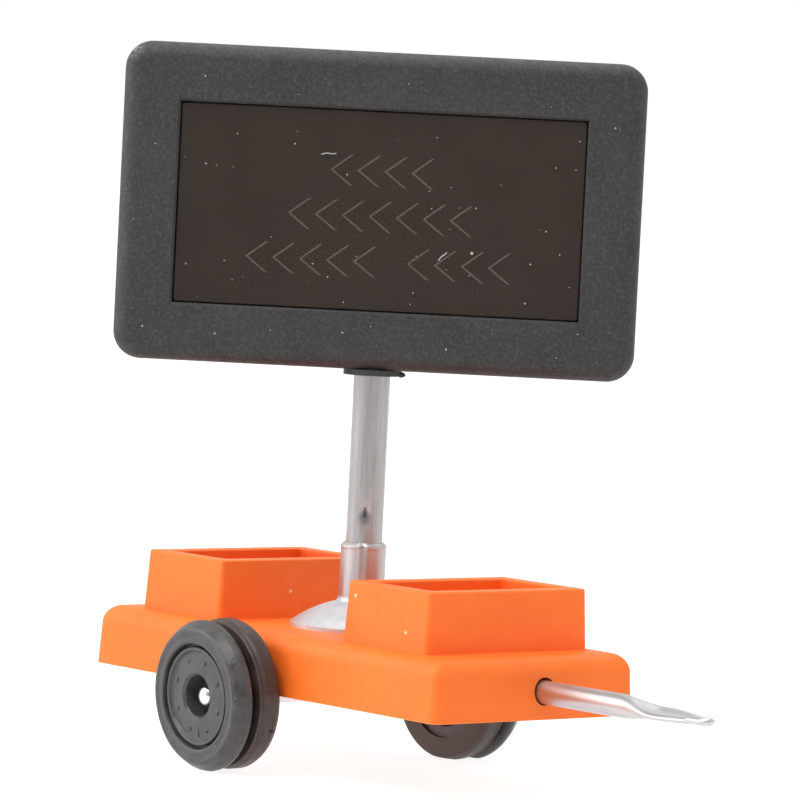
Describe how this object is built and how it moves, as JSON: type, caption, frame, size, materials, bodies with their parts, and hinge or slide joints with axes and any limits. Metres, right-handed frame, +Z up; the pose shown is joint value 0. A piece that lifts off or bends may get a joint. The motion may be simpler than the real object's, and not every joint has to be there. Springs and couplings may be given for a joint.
{
  "type": "message board trailer",
  "caption": "Miniature road-works message-board trailer: sign casing on a telescoping swivel mast over a hollow deck with open trays, dual wheels and a flat-ended drawbar.",
  "frame": {"origin": "on the ground, under the middle of the overall length from the deck's rear to the tongue's tip and on the wheel track's centre line", "axes": "+X forwards to the drawbar tongue, +Y to the trailer's left, +Z up along the mast"},
  "size_m": [0.0668, 0.037, 0.0622],
  "materials": {
    "orange_plastic": "satin moulded",
    "mast_metal": "drawn tube",
    "drawbar_metal": "drawn tube, squashed end",
    "axle_brass": "drawn tube",
    "axle_steel": "ground rod",
    "hub_plastic": "matte moulded",
    "tyre_rubber": "matte moulded",
    "casing_plastic": "fine texture",
    "bush_plastic": "matte",
    "screw_steel": "blackened",
    "smoked_pane": "smoke tinted",
    "mask_film": "matte film",
    "panel_phosphor": "matte film",
    "pad_foam": "closed-cell foam",
    "board_green": "solder mask",
    "chip_black": "moulded",
    "lead_insulation": "insulated wire"
  },
  "bodies": {
    "trailer": {"deck": "orange_plastic", "front_tray": "orange_plastic", "rear_tray": "orange_plastic", "mast_flange": "mast_metal", "mast_sleeve": "mast_metal", "drawbar": "drawbar_metal", "axle_tube": "axle_brass"},
    "wheelset": {"axle": "axle_steel", "wheel_hub_right": "hub_plastic", "wheel_hub_left": "hub_plastic", "outer_tyre_right": "tyre_rubber", "inner_tyre_right": "tyre_rubber", "outer_tyre_left": "tyre_rubber", "inner_tyre_left": "tyre_rubber"},
    "mast": {"mast_tube": "mast_metal"},
    "sign": {"sign_bezel": "casing_plastic", "back_cover": "casing_plastic", "back_cover_screws": "screw_steel", "swivel_bush": "bush_plastic", "display_window": "smoked_pane", "pixel_mask": "mask_film", "light_panel": "panel_phosphor", "panel_pad": "pad_foam", "driver_board": "board_green", "board_chips": "chip_black", "lead_pair": "lead_insulation"}
  },
  "joints": [
    {"name": "wheelset_spin", "type": "hinge", "parent": "trailer", "child": "wheelset", "pos_m": [-0.0121, 0, 0.0064], "axis": [0, 1, 0], "continuous": true},
    {"name": "mast_lift", "type": "slide", "parent": "trailer", "child": "mast", "axis": [0, 0, 1], "range_m": [-0.0048, 0.003]},
    {"name": "sign_swivel", "type": "hinge", "parent": "mast", "child": "sign", "pos_m": [-0.01015, 0, 0.03717], "axis": [0, 0, 1], "range_deg": [-180, 180]}
  ]
}
